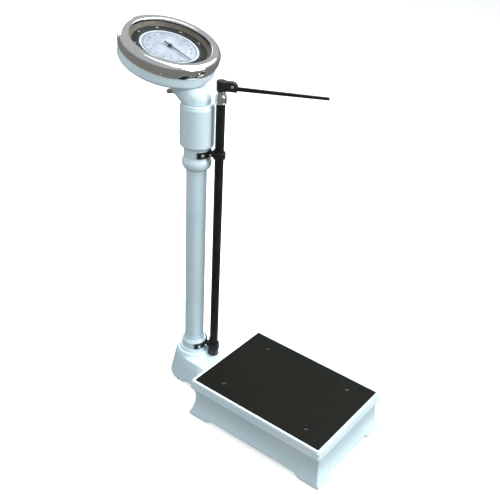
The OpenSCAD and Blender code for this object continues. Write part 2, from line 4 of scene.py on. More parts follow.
import bmesh
import bpy
from mathutils import Matrix, Vector


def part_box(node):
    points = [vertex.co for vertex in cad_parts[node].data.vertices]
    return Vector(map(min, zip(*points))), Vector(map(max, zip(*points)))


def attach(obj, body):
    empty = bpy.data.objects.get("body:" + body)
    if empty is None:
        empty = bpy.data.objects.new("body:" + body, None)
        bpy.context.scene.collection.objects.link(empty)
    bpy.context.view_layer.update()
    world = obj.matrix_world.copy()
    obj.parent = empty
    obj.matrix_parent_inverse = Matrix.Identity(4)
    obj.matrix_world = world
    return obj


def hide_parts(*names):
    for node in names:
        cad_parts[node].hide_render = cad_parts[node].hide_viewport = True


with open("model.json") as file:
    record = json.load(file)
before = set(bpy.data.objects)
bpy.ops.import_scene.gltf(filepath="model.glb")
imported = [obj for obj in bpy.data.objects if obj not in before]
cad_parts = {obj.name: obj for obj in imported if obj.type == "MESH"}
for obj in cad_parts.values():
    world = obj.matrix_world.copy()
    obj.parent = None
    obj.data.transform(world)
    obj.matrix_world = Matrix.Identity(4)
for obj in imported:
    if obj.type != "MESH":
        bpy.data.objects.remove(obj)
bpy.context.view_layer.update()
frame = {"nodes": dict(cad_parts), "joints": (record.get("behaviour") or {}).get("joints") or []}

# Everything is modelled in millimetres and made metres when a piece is kept
mm = 0.001
joints = {joint["name"]: joint for joint in frame["joints"]}


def boxOf(node):
    low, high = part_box(node)
    return low / mm, high / mm


def jointPoint(name):
    return Vector(joints[name]["pos_m"]) / mm


# Places read from the frame
tubeLow, tubeHigh = boxOf("column_tube")
columnX, columnY = (tubeLow.x + tubeHigh.x) / 2, (tubeLow.y + tubeHigh.y) / 2
columnAt = Matrix.Translation((columnX, columnY, 0))
dialAxis = -Vector(joints["pointer_turn"]["axis"])
dialTilt = atan2(-dialAxis.y, dialAxis.z)
headAt = Matrix.Translation(jointPoint("pointer_turn")) @ Matrix.Rotation(dialTilt, 4, "X")
rodPoint = jointPoint("rod_clamp_turn")
rodAt = Matrix.Translation((rodPoint.x, rodPoint.y, 0))
armPivot = jointPoint("measuring_arm_fold")
armTurn = atan2(armPivot.x - rodPoint.x, rodPoint.y - armPivot.y)
clampTurn = atan2(rodPoint.x - columnX, columnY - rodPoint.y)
rodReach = Vector((rodPoint.x - columnX, rodPoint.y - columnY)).length
matLow, matHigh = boxOf("platform_mat")
matAt = Matrix.Translation(((matLow.x + matHigh.x) / 2, (matLow.y + matHigh.y) / 2, 0))


# Shader helpers

class Wire:
    # One output socket, so that sums on it read as sums
    def __init__(self, finish, socket):
        self.finish = finish
        self.socket = socket

    def math(self, operation, first, second):
        return self.finish.node("ShaderNodeMath", {"operation": operation}, {0: first, 1: second})

    def __add__(self, other):
        return self.math("ADD", self, other)

    def __radd__(self, other):
        return self.math("ADD", other, self)

    def __sub__(self, other):
        return self.math("SUBTRACT", self, other)

    def __rsub__(self, other):
        return self.math("SUBTRACT", other, self)

    def __mul__(self, other):
        return self.math("MULTIPLY", self, other)

    def __rmul__(self, other):
        return self.math("MULTIPLY", other, self)

    def __truediv__(self, other):
        return self.math("DIVIDE", self, other)

    def __pow__(self, other):
        return self.math("POWER", self, other)


class Finish:
    # A material under construction: its tree, its shader and short ways to add nodes
    def __init__(self, name, **constants):
        self.material = bpy.data.materials.new(name)
        self.material.use_nodes = True
        self.tree = self.material.node_tree
        self.tree.nodes.clear()
        self.shader = self.tree.nodes.new("ShaderNodeBsdfPrincipled")
        self.output = self.tree.nodes.new("ShaderNodeOutputMaterial")
        self.tree.links.new(self.shader.outputs[0], self.output.inputs[0])
        for key, value in constants.items():
            self.shader.inputs[key.replace("_", " ")].default_value = value
        self.place = self.node("ShaderNodeTexCoord", out="Object")

    def node(self, kind, setup=None, sockets=None, out=0):
        made = self.tree.nodes.new(kind)
        for key, value in (setup or {}).items():
            if key == "stops":
                elements = made.color_ramp.elements
                while len(elements) < len(value):
                    elements.new(1.0)
                for element, (position, colour) in zip(elements, value):
                    element.position = position
                    element.color = (*colour, 1.0)
            else:
                setattr(made, key, value)
        for key, value in (sockets or {}).items():
            if isinstance(value, Wire):
                self.tree.links.new(value.socket, made.inputs[key])
            else:
                made.inputs[key].default_value = value
        return Wire(self, made.outputs[out])

    def noise(self, size, detail=3.0, rough=0.5, where=None, out="Fac"):
        # size is the width of the largest grain, in metres
        return self.node("ShaderNodeTexNoise", {}, {"Vector": where or self.place, "Scale": 1 / size,
                         "Detail": detail, "Roughness": rough}, out)

    def cells(self, size, where=None, feature="F1", out="Distance"):
        return self.node("ShaderNodeTexVoronoi", {"feature": feature},
                         {"Vector": where or self.place, "Scale": 1 / size}, out)

    def stretch(self, factors):
        return self.node("ShaderNodeMapping", {}, {"Vector": self.place, "Scale": factors})

    def split(self, axis):
        return self.node("ShaderNodeSeparateXYZ", {}, {0: self.place}, axis)

    def clamp(self, value, low, high, toLow=0.0, toHigh=1.0):
        return self.node("ShaderNodeMapRange", {"clamp": True}, {"Value": value, "From Min": low,
                         "From Max": high, "To Min": toLow, "To Max": toHigh})

    def blend(self, factor, first, second):
        made = self.tree.nodes.new("ShaderNodeMix")
        made.data_type = "RGBA"
        self.tree.links.new(factor.socket, made.inputs["Factor"])
        for socket, value in ((made.inputs[6], first), (made.inputs[7], second)):
            if isinstance(value, Wire):
                self.tree.links.new(value.socket, socket)
            else:
                socket.default_value = (*value, 1.0)
        return Wire(self, made.outputs[2])

    def bump(self, height, strength, distance, after=None):
        sockets = {"Height": height, "Strength": strength, "Distance": distance}
        if after is not None:
            sockets["Normal"] = after
        return self.node("ShaderNodeBump", {}, sockets)

    def feed(self, **wires):
        for key, wire in wires.items():
            self.tree.links.new(wire.socket, self.shader.inputs[key.replace("_", " ")])
        return self.material


# Materials

enamelLook = {"base": (0.64, 0.79, 0.85), "shade": (0.57, 0.72, 0.79), "grime": (0.36, 0.40, 0.41),
              "roughness": 0.26, "orangePeel": 0.0035, "cloud": 0.09}


def enamelFinish(name, look, peelStrength=0.10, grimeHeight=0.02):
    # Glossy pale enamel over a casting: faint orange peel, clouding, dust near the floor
    finish = Finish(name, Coat_Roughness=0.08)
    cloud = finish.noise(look["cloud"], 4.0, 0.55)
    speck = finish.clamp(finish.noise(0.0016, 2.0, 0.6), 0.70, 0.78)
    low = finish.clamp(finish.split("Z"), 0.0, grimeHeight, 1.0, 0.0)
    dust = low * finish.clamp(finish.noise(0.02, 5.0, 0.65), 0.42, 0.7)
    colour = finish.blend(finish.clamp(cloud, 0.35, 0.7), look["base"], look["shade"])
    colour = finish.blend(speck * 0.25, colour, look["grime"])
    colour = finish.blend(dust * 0.55, colour, look["grime"])
    peel = finish.noise(look["orangePeel"], 2.0, 0.5)
    ripple = finish.noise(0.03, 2.0, 0.4)
    rough = look["roughness"] + finish.clamp(cloud, 0.3, 0.75, -0.04, 0.07) + dust * 0.35
    normal = finish.bump(ripple, 0.03, 0.002, finish.bump(peel, peelStrength, 0.0006))
    return finish.feed(Base_Color=colour, Roughness=rough, Normal=normal, Coat_Weight=0.35 + cloud * 0.2)


def castInsideFinish(name, dark, light):
    # Bare or primed grey casting with a sandy skin
    finish = Finish(name, Metallic=0.35)
    sand = finish.noise(0.0022, 6.0, 0.7)
    patch = finish.noise(0.05, 3.0, 0.5)
    colour = finish.blend(finish.clamp(patch * 0.6 + sand * 0.4, 0.35, 0.65), dark, light)
    normal = finish.bump(sand, 0.5, 0.0008)
    return finish.feed(Base_Color=colour, Roughness=0.5 + sand * 0.3, Normal=normal)


def chromeFinish(name, tint, roughness, brushed=None):
    # Plated metal with faint haze, fine wipes and a few pits
    finish = Finish(name, Metallic=1.0)
    haze = finish.noise(0.04, 4.0, 0.6)
    wipe = finish.noise(0.004, 3.0, 0.6, finish.stretch(brushed or (1.0, 0.15, 1.0)))
    pit = finish.clamp(finish.noise(0.0012, 1.0, 0.5), 0.77, 0.82)
    colour = finish.blend(finish.clamp(haze, 0.3, 0.7), tint, tuple(0.92 * part for part in tint))
    colour = finish.blend(pit * 0.4, colour, (0.25, 0.24, 0.22))
    rough = roughness + finish.clamp(haze, 0.35, 0.75, 0.0, 0.05) + wipe * 0.03 + pit * 0.3
    normal = finish.bump(wipe, 0.03, 0.0004)
    return finish.feed(Base_Color=colour, Roughness=rough, Normal=normal)


def steelFinish(name, tint, roughness, grain):
    # Plain machined or zinc-plated steel; grain stretches the tool marks
    finish = Finish(name, Metallic=1.0)
    marks = finish.noise(0.0012, 4.0, 0.6, finish.stretch(grain))
    patch = finish.noise(0.012, 4.0, 0.6)
    colour = finish.blend(finish.clamp(patch, 0.3, 0.7), tint, tuple(0.72 * part for part in tint))
    rough = roughness + marks * 0.14 + patch * 0.10
    return finish.feed(Base_Color=colour, Roughness=rough, Normal=finish.bump(marks, 0.25, 0.0003))


def rubberFinish(name, tint, pebble, strength):
    # Moulded rubber with a pebbled skin and dust caught in it
    finish = Finish(name, Specular_IOR_Level=0.06)
    stones = finish.cells(pebble)
    patch = finish.noise(0.06, 5.0, 0.6)
    scuff = finish.clamp(finish.noise(0.018, 6.0, 0.7), 0.58, 0.72)
    colour = finish.blend(finish.clamp(stones, 0.15, 0.75), tint, tuple(1.9 * part for part in tint))
    colour = finish.blend(scuff * 0.3, colour, (0.03, 0.03, 0.029))
    rough = finish.clamp(patch, 0.3, 0.7, 0.42, 0.58) + scuff * 0.12
    normal = finish.bump(1 - stones, strength, 0.0006)
    return finish.feed(Base_Color=colour, Roughness=rough, Normal=normal)


def blackPaintFinish(name, tint, roughness, wornTo=(0.10, 0.10, 0.10), shine=0.4):
    # Satin black paint with fine grain and rubbed patches
    finish = Finish(name, Specular_IOR_Level=shine)
    grain = finish.noise(0.0011, 3.0, 0.6)
    rub = finish.clamp(finish.noise(0.014, 6.0, 0.65), 0.58, 0.75)
    patch = finish.noise(0.05, 3.0, 0.5)
    colour = finish.blend(finish.clamp(patch, 0.3, 0.7), tint, tuple(1.7 * part for part in tint))
    colour = finish.blend(rub * 0.3, colour, wornTo)
    rough = roughness + grain * 0.12 + rub * 0.1
    return finish.feed(Base_Color=colour, Roughness=rough, Normal=finish.bump(grain, 0.18, 0.0003))


def dialSilverFinish(name):
    # Spun aluminium dial: fine concentric grain round the shaft under a satin lacquer
    finish = Finish(name, Metallic=0.15, Coat_Roughness=0.3)
    centre = jointPoint("pointer_turn") * mm
    turned = finish.node("ShaderNodeMapping", {"vector_type": "TEXTURE"}, {"Vector": finish.place,
                         "Location": centre, "Rotation": (dialTilt, 0, 0)})
    radius = finish.node("ShaderNodeVectorMath", {"operation": "LENGTH"},
                         {0: finish.node("ShaderNodeVectorMath", {"operation": "MULTIPLY"},
                                         {0: turned, 1: (1, 1, 0)})}, "Value")
    rings = finish.node("ShaderNodeTexNoise", {"noise_dimensions": "1D"}, {"W": radius, "Scale": 2600.0,
                        "Detail": 3.0})
    patch = finish.noise(0.03, 4.0, 0.6)
    margin = finish.clamp(radius, 0.0622, 0.0630)
    colour = finish.blend(finish.clamp(rings * 0.5 + patch * 0.5, 0.35, 0.65), (0.16, 0.19, 0.23),
                          (0.34, 0.39, 0.44))
    colour = finish.blend(margin * 0.7, colour, (0.42, 0.47, 0.51))
    return finish.feed(Base_Color=colour, Roughness=0.46 + rings * 0.14,
                       Normal=finish.bump(rings, 0.12, 0.0002), Coat_Weight=0.02 + patch * 0.06)


def printFinish(name, tint):
    # Screen-printed ink, slightly uneven
    finish = Finish(name)
    spread = finish.noise(0.0008, 3.0, 0.6)
    colour = finish.blend(finish.clamp(spread, 0.3, 0.8), tint, tuple(0.6 * part + 0.05 for part in tint))
    return finish.feed(Base_Color=colour, Roughness=0.4 + spread * 0.2,
                       Normal=finish.bump(spread, 0.1, 0.0001))


def glassFinish(name):
    # Flat window glass: clear from above, reflecting at a slant, with faint dust
    finish = Finish(name, Roughness=0.03, IOR=1.5)
    clear = finish.tree.nodes.new("ShaderNodeBsdfTransparent")
    mixer = finish.tree.nodes.new("ShaderNodeMixShader")
    dust = finish.clamp(finish.noise(0.002, 5.0, 0.7), 0.55, 0.9)
    slant = finish.node("ShaderNodeLayerWeight", {}, {"Blend": 0.5}, "Facing")
    amount = slant ** 4 * 0.22 + dust * 0.008 + 0.004
    finish.tree.links.new(amount.socket, mixer.inputs[0])
    finish.tree.links.new(clear.outputs[0], mixer.inputs[1])
    finish.tree.links.new(finish.shader.outputs[0], mixer.inputs[2])
    finish.tree.links.new(mixer.outputs[0], finish.output.inputs[0])
    return finish.feed(Base_Color=finish.blend(dust, (0.02, 0.02, 0.02), (0.3, 0.3, 0.29)))


print("materials")
enamel = enamelFinish("enamel_cast", enamelLook, 0.16)
enamelTube = enamelFinish("enamel_tube", {**enamelLook, "base": (0.63, 0.78, 0.85)}, 0.05)
enamelCase = enamelFinish("enamel_case", {**enamelLook, "base": (0.65, 0.79, 0.85)}, 0.07)
enamelTray = enamelFinish("enamel_tray", {**enamelLook, "base": (0.66, 0.79, 0.85)}, 0.05)
castGrey = castInsideFinish("cast_grey", (0.13, 0.14, 0.15), (0.24, 0.25, 0.27))
chrome = chromeFinish("chrome_plate", (0.86, 0.85, 0.84), 0.045)
chromeTube = chromeFinish("chrome_tube", (0.82, 0.83, 0.84), 0.07, (1.0, 1.0, 0.05))
knurlChrome = chromeFinish("chrome_knurl", (0.80, 0.80, 0.79), 0.12)
zinc = steelFinish("zinc_steel", (0.60, 0.61, 0.62), 0.28, (1.0, 1.0, 0.1))
brightScrew = steelFinish("bright_steel", (0.80, 0.80, 0.81), 0.20, (0.2, 1.0, 1.0))
darkStud = blackPaintFinish("dark_stud", (0.020, 0.022, 0.023), 0.5, (0.07, 0.07, 0.08), 0.3)
springSteel = steelFinish("spring_steel", (0.50, 0.52, 0.55), 0.25, (1.0, 1.0, 1.0))
brass = steelFinish("brass", (0.66, 0.50, 0.24), 0.25, (1.0, 0.1, 1.0))
knobMetal = steelFinish("knob_nickel", (0.50, 0.47, 0.38), 0.20, (1.0, 0.1, 1.0))
matRubber = rubberFinish("mat_rubber", (0.0040, 0.0043, 0.0032), 0.0017, 0.35)
padRubber = rubberFinish("pad_rubber", (0.02, 0.02, 0.02), 0.0012, 0.3)
blackPaint = blackPaintFinish("black_paint", (0.008, 0.008, 0.0085), 0.36, (0.05, 0.05, 0.05), 0.2)
blackPlastic = blackPaintFinish("black_plastic", (0.010, 0.010, 0.011), 0.24, (0.05, 0.05, 0.05))
ringBlack = blackPaintFinish("ring_black", (0.010, 0.010, 0.010), 0.5, (0.03, 0.03, 0.03), 0.10)
wellGrey = blackPaintFinish("well_grey", (0.070, 0.064, 0.052), 0.5, (0.12, 0.11, 0.10), 0.15)
dialSilver = dialSilverFinish("dial_silver")
inkDark = printFinish("ink_dark", (0.02, 0.025, 0.07))
inkRed = printFinish("ink_red", (0.55, 0.02, 0.03))
inkPale = printFinish("ink_pale", (0.40, 0.41, 0.39))
pointerBlack = blackPaintFinish("pointer_black", (0.008, 0.008, 0.008), 0.22, (0.02, 0.02, 0.02))
glass = glassFinish("window_glass")


# Modelling helpers

def arc(cx, cy, radius, start, end, steps=6):
    # Points of an arc, angles in degrees
    turns = [radians(start + (end - start) * i / steps) for i in range(steps + 1)]
    return [(cx + radius * cos(turn), cy + radius * sin(turn)) for turn in turns]


def turnedShape(outline, segments=128):
    # Outline of (radius, height) points spun about Z, closed on itself unless it ends on the axis
    shape = bmesh.new()
    points = [shape.verts.new((radius, 0, height)) for radius, height in outline]
    edges = [shape.edges.new(pair) for pair in zip(points, points[1:])]
    if outline[0][0] > 0 or outline[-1][0] > 0:
        edges.append(shape.edges.new((points[-1], points[0])))
    bmesh.ops.spin(shape, geom=points + edges, cent=(0, 0, 0), axis=(0, 0, 1), angle=2 * pi,
                   steps=segments, use_merge=True)
    bmesh.ops.remove_doubles(shape, verts=shape.verts, dist=0.0005)
    bmesh.ops.recalc_face_normals(shape, faces=shape.faces)
    return shape


def flatShape(outline, thickness):
    # Outline of (x, y) points made a plate from z = 0 up
    shape = bmesh.new()
    face = shape.faces.new([shape.verts.new((x, y, 0)) for x, y in outline])
    grown = bmesh.ops.extrude_face_region(shape, geom=[face])
    moved = [item for item in grown["geom"] if isinstance(item, bmesh.types.BMVert)]
    bmesh.ops.translate(shape, verts=moved, vec=(0, 0, thickness))
    return shape


def blockShape(size, centre=(0, 0, 0)):
    shape = bmesh.new()
    bmesh.ops.create_cube(shape, size=1.0)
    bmesh.ops.scale(shape, vec=size, verts=shape.verts)
    bmesh.ops.translate(shape, vec=centre, verts=shape.verts)
    return shape


def rodShape(radius, length, segments=32):
    # Cylinder along Z, centred
    shape = bmesh.new()
    bmesh.ops.create_cone(shape, cap_ends=True, segments=segments, radius1=radius, radius2=radius,
                          depth=length)
    return shape


def roundEdges(shape, width, segments=3, sharperThan=35, only=None):
    bmesh.ops.remove_doubles(shape, verts=shape.verts, dist=0.001)
    bmesh.ops.recalc_face_normals(shape, faces=shape.faces)
    limit = radians(sharperThan)
    edges = [edge for edge in shape.edges if edge.calc_face_angle(0) > limit and (only is None or only(edge))]
    bmesh.ops.bevel(shape, geom=edges, offset=width, segments=segments, profile=0.5, affect="EDGES",
                    clamp_overlap=True, material=-1)
    return shape


def moved(shape, place):
    shape.transform(place)
    return shape


def joined(shapes):
    whole = bmesh.new()
    for shape in shapes:
        part = bpy.data.meshes.new("part")
        shape.to_mesh(part)
        whole.from_mesh(part)
        bpy.data.meshes.remove(part)
        shape.free()
    return whole


def objectOf(shape, name):
    mesh = bpy.data.meshes.new(name)
    shape.to_mesh(mesh)
    shape.free()
    made = bpy.data.objects.new(name, mesh)
    bpy.context.scene.collection.objects.link(made)
    return made


def settled(piece):
    # Applies a piece's modifiers to its mesh
    ready = piece.evaluated_get(bpy.context.evaluated_depsgraph_get())
    mesh = bpy.data.meshes.new_from_object(ready)
    piece.modifiers.clear()
    piece.data = mesh
    return piece


def cutAway(shape, cutters):
    # Takes the cutters out of the shape with exact booleans
    target = objectOf(shape, "target")
    tools = [objectOf(cutter, "cutter") for cutter in cutters]
    for tool in tools:
        cut = target.modifiers.new("cut", "BOOLEAN")
        cut.operation = "DIFFERENCE"
        cut.solver = "EXACT"
        cut.object = tool
    settled(target)
    result = bmesh.new()
    result.from_mesh(target.data)
    for item in [target] + tools:
        bpy.data.objects.remove(item)
    bmesh.ops.remove_doubles(result, verts=result.verts, dist=0.001)
    bmesh.ops.dissolve_degenerate(result, edges=result.edges, dist=0.0005)
    return result


def keepPiece(shape, name, body, material, place=None, replaces=(), sharp=38, turnOut=True):
    # Turns a finished bmesh into a piece that rides on a body
    bmesh.ops.remove_doubles(shape, verts=shape.verts, dist=0.0005)
    if turnOut:
        bmesh.ops.recalc_face_normals(shape, faces=shape.faces)
    for face in shape.faces:
        face.smooth = True
    for edge in shape.edges:
        edge.smooth = edge.calc_face_angle(0) < radians(sharp)
    shape.transform(Matrix.Scale(mm, 4) @ (place or Matrix()))
    piece = objectOf(shape, name)
    if turnOut:
        # Flat faces keep their own direction beside their rounded edges
        piece.modifiers.new("even", "WEIGHTED_NORMAL").keep_sharp = True
        settled(piece)
    piece.data.materials.append(material)
    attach(piece, body)
    if replaces:
        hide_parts(*replaces)
    return piece


def castCopy(node, voxel, smoothing, backY=None, backWall=0):
    # Copy of a cast CAD node with every edge softened, as a sand casting has. Behind backY the inner side
    # moves forward by backWall, where the node's own wall is thinner than a voxel
    shape = bmesh.new()
    shape.from_mesh(frame["nodes"][node].data)
    bmesh.ops.remove_doubles(shape, verts=shape.verts, dist=0.00001)
    shape.normal_update()
    for point in shape.verts:
        if backY is not None and point.co.y > backY * mm and point.normal.y < -0.3:
            point.co.y -= backWall * mm
    copy = objectOf(shape, node + "_cast")
    remesh = copy.modifiers.new("remesh", "REMESH")
    remesh.mode = "VOXEL"
    remesh.voxel_size = voxel
    soften = copy.modifiers.new("soften", "SMOOTH")
    soften.factor = 0.5
    soften.iterations = smoothing
    settled(copy)
    result = bmesh.new()
    result.from_mesh(copy.data)
    bpy.data.objects.remove(copy)
    result.transform(Matrix.Scale(1 / mm, 4))
    return result


def roundedOutline(width, length, radius, steps=8):
    points = []
    for sx, sy, start in ((1, 1, 0), (-1, 1, 90), (-1, -1, 180), (1, -1, 270)):
        points += arc(sx * (width / 2 - radius), sy * (length / 2 - radius), radius, start, start + 90, steps)
    return points


def faceAt(shape, upward):
    # The highest face that looks up, or the lowest that looks down
    sign = 1 if upward else -1
    return max(shape.faces, key=lambda face: (sign * face.calc_center_median().z, face.calc_area()))


def sink(shape, face, wall, depth):
    # Insets a flat face by wall and pushes it along Z by depth
    bmesh.ops.inset_region(shape, faces=[face], thickness=wall, use_even_offset=True)
    grown = bmesh.ops.extrude_face_region(shape, geom=[face])
    points = [item for item in grown["geom"] if isinstance(item, bmesh.types.BMVert)]
    bmesh.ops.translate(shape, verts=points, vec=(0, 0, depth))
    if face.is_valid:
        bmesh.ops.delete(shape, geom=[face], context="FACES_ONLY")


def slottedHead(radius, height, slot, flat=0.35):
    # Cheese head on z = 0 with a domed top and a driver slot
    turns = [radians(angle) for angle in (75, 55, 35, 15, 0)]
    crown = [(0, height)] + [(radius * cos(turn) ** 0.6, height * (flat + (1 - flat) * sin(turn)))
                             for turn in turns]
    head = turnedShape(crown + [(radius, 0.1), (radius * 0.96, 0), (0, 0)], 40)
    return cutAway(head, [blockShape((2.4 * radius, slot, height * 0.7), (0, 0, height * 0.85))])


# Camera, light and floor

print("camera and light")
cameraLook = {"place": (-1.265776, -0.948876, 1.384412), "azimuth": -53.686, "pitch": 30.963, "roll": 3.177,
              "lens": 57.11}
azimuth, pitch, roll = (radians(cameraLook[key]) for key in ("azimuth", "pitch", "roll"))
back = Vector((sin(azimuth) * cos(pitch), -cos(azimuth) * cos(pitch), sin(pitch)))
level = (-back).cross(Vector((0, 0, 1))).normalized()
upright = level.cross(-back)
right = cos(roll) * level + sin(roll) * upright
up = -sin(roll) * level + cos(roll) * upright
bpy.context.scene.view_settings.view_transform = "Standard"
cameraData = bpy.data.cameras.new("camera")
cameraData.lens = cameraLook["lens"]
cameraData.sensor_width = 36
cameraData.clip_end = 60
camera = bpy.data.objects.new("camera", cameraData)
camera.matrix_world = (Matrix.Translation(cameraLook["place"])
                       @ Matrix((right, up, back)).transposed().to_4x4())
bpy.context.scene.collection.objects.link(camera)
bpy.context.scene.camera = camera

# Lamps without glint light the object but don't show in its chrome
lamps = {
    "key": {"place": (1.0, -2.5, 2.0), "size": 2.0, "watts": 104, "tint": (0.97, 0.99, 1.0), "glint": True},
    "softbox": {"place": (1.15, -0.5, 2.55), "size": 2.1, "watts": 76, "tint": (0.97, 0.99, 1.0),
                "glint": True},
    "top": {"place": (0.2, 0.6, 2.9), "size": 2.4, "watts": 44, "tint": (0.98, 1.0, 1.0), "glint": False},
    "left": {"place": (-2.1, -0.2, 1.9), "size": 1.5, "watts": 23, "tint": (0.97, 0.99, 1.0), "glint": False},
    "rear": {"place": (0.9, 2.3, 1.5), "size": 1.4, "watts": 18, "tint": (0.96, 0.98, 1.0), "glint": True},
}
for lampName, lamp in lamps.items():
    data = bpy.data.lights.new(lampName, "AREA")
    data.size = lamp["size"]
    data.energy = lamp["watts"]
    data.color = lamp["tint"]
    light = bpy.data.objects.new(lampName, data)
    aim = (Vector((0, 0, 0.5)) - Vector(lamp["place"])).to_track_quat("-Z", "Y").to_matrix().to_4x4()
    light.matrix_world = Matrix.Translation(lamp["place"]) @ aim
    light.visible_glossy = lamp["glint"]
    bpy.context.scene.collection.objects.link(light)

world = bpy.data.worlds.new("studio")
bpy.context.scene.world = world
world.use_nodes = True
# Pale above, dull brown below the horizon, which only polished metal sees
sky = world.node_tree.nodes.new("ShaderNodeValToRGB")
axes = world.node_tree.nodes.new("ShaderNodeSeparateXYZ")
direction = world.node_tree.nodes.new("ShaderNodeTexCoord")
background = world.node_tree.nodes["Background"]
skyStops = [(0.0, (0.27, 0.27, 0.25, 1.0)), (0.45, (0.62, 0.66, 0.68, 1.0))]
for element, (position, colour) in zip(sky.color_ramp.elements, skyStops):
    element.position, element.color = position, colour
world.node_tree.links.new(direction.outputs["Generated"], axes.inputs[0])
world.node_tree.links.new(axes.outputs[2], sky.inputs[0])
world.node_tree.links.new(sky.outputs[0], background.inputs["Color"])
background.inputs["Strength"].default_value = 0.78

floorFinish = Finish("floor_paper", Roughness=0.9, Emission_Color=(1, 1, 1, 1), Emission_Strength=0.45)
floorShade = floorFinish.noise(0.5, 3.0, 0.5)
floorMaterial = floorFinish.feed(
    Base_Color=floorFinish.blend(floorShade, (0.80, 0.80, 0.80), (0.84, 0.84, 0.84)))
floorShape = bmesh.new()
bmesh.ops.create_grid(floorShape, x_segments=1, y_segments=1, size=15)
floor = objectOf(floorShape, "floor")
floor.data.materials.append(floorMaterial)
floor.visible_glossy = False
floor.visible_diffuse = False


# Base casting and platform

print("base and platform")
castLook = {"voxel": 2.0 * mm, "smoothing": 8}
keepPiece(castCopy("base_casting", castLook["voxel"], castLook["smoothing"]), "cast_base", "stand",
          enamel, replaces=["base_casting"], sharp=70, turnOut=False)

padNames = ["foot_pad_%d" % number for number in range(1, 7)]
padShapes = []
for padName in padNames:
    low, high = boxOf(padName)
    radius, height = (high.x - low.x) / 2, high.z
    outline = [(0, 0), (radius - 0.7, 0), (radius, 0.5), (radius, height), (0, height)]
    padAt = Matrix.Translation(((low.x + high.x) / 2, (low.y + high.y) / 2, 0))
    padShapes.append(moved(turnedShape(outline, 48), padAt))
keepPiece(joined(padShapes), "foot_pads", "stand", padRubber, replaces=padNames)

panLook = {"rim": 5.8, "pocket": 3.0, "wall": 2.5, "corner": 8.0, "edge": 0.7, "top": (268.0, 375.0)}
panLow, panHigh = boxOf("platform_pan")
panSize = panHigh - panLow
pan = flatShape(roundedOutline(panSize.x, panSize.y, panLook["corner"]), panSize.z)
bmesh.ops.scale(pan, vec=(panLook["top"][0] / panSize.x, panLook["top"][1] / panSize.y, 1),
                verts=[point for point in pan.verts if point.co.z > 1])
sink(pan, faceAt(pan, True), panLook["rim"], -panLook["pocket"])
sink(pan, faceAt(pan, False), panLook["wall"], panSize.z - panLook["pocket"] - 2)
roundEdges(pan, panLook["edge"], 3)
keepPiece(moved(pan, matAt @ Matrix.Translation((0, 0, panLow.z))), "platform_tray", "platform",
          enamelTray, replaces=["platform_pan"])

matLook = {"corner": 3.0, "dimple": 5.6, "edge": 0.8, "screwInset": 5.4, "head": 5.3, "shank": 3.0}
matSize = matHigh - matLow
screwLow, screwHigh = boxOf("mat_screws")
screwX = (screwHigh.x - screwLow.x) / 2 - matLook["screwInset"]
screwY = (screwHigh.y - screwLow.y) / 2 - matLook["screwInset"]
screwAt = [(sx * screwX, sy * screwY) for sx in (-1, 1) for sy in (-1, 1)]
mat = flatShape(roundedOutline(matSize.x, matSize.y, matLook["corner"], 5), matSize.z)
roundEdges(mat, matLook["edge"])
dimples = [moved(rodShape(matLook["dimple"], 20, 40), Matrix.Translation((x, y, 0))) for x, y in screwAt]
mat = cutAway(mat, dimples)
bmesh.ops.triangulate(mat, faces=mat.faces)
keepPiece(moved(mat, matAt @ Matrix.Translation((0, 0, matLow.z))), "rubber_mat", "platform",
          matRubber, replaces=["platform_mat"])
# The slots point every way, as hand-driven screws do
matScrews = [moved(slottedHead(matLook["head"], 1.9, 1.1),
                   Matrix.Translation((x, y, matLow.z)) @ Matrix.Rotation(x + y, 4, "Z")) for x, y in screwAt]
matShanks = [moved(rodShape(matLook["shank"], 8), Matrix.Translation((x, y, matLow.z - 4)))
             for x, y in screwAt]
keepPiece(moved(joined(matScrews + matShanks), matAt), "mat_screw_heads", "platform", darkStud,
          replaces=["mat_screws"])


# Column

print("column")
columnLook = {"tube": (tubeHigh.x - tubeLow.x) / 2, "wall": 2.5, "flange": 36.5, "band": 31.0,
              "collar": 30.0}
footLow, footHigh = boxOf("column_foot")
tubeR = columnLook["tube"]
flange, band = columnLook["flange"], columnLook["band"]
footZ, footTop = footLow.z, footHigh.z
footOutline = [(10, footZ), (flange - 1, footZ)] + arc(flange - 1, footZ + 1.2, 1.0, -80, 60, 6)
footOutline += arc(band + 3.6, footZ + 9.0, 3.4, 270, 180, 8) + [(band, footZ + 12), (band, footTop - 16.5)]
footOutline += arc(band - 3, footTop - 16.2, 3, 0, 62, 6) + arc(tubeR + 8.6, footTop - 4.6, 7.4, 232, 184, 7)
footOutline += [(tubeR + 1.1, footTop), (tubeR + 0.1, footTop), (tubeR + 0.02, footTop - 1),
                (tubeR + 0.02, tubeLow.z), (10, tubeLow.z)]
keepPiece(turnedShape(footOutline), "column_foot_cast", "stand", enamel, columnAt, ["column_foot"])

tubeBore = tubeR - columnLook["wall"]
tubeOutline = [(tubeBore, tubeLow.z), (tubeR, tubeLow.z), (tubeR, tubeHigh.z), (tubeBore, tubeHigh.z)]
keepPiece(turnedShape(tubeOutline, 160), "column_pipe", "stand", enamelTube, columnAt,
          ["column_tube"])

collarLow, collarHigh = boxOf("column_collar")
collarZ, collarR = collarLow.z, columnLook["collar"]
collarOutline = [(tubeR + 0.02, collarHigh.z), (tubeR + 0.02, collarZ), (tubeR + 0.8, collarZ)]
bulgeLook = {"reach": 35.0, "below": 17.0, "above": 17.0, "root": 24.5, "drop": 16.9}
bulgeZ, spread = collarZ + bulgeLook["below"], (bulgeLook["reach"] - collarR) / 2
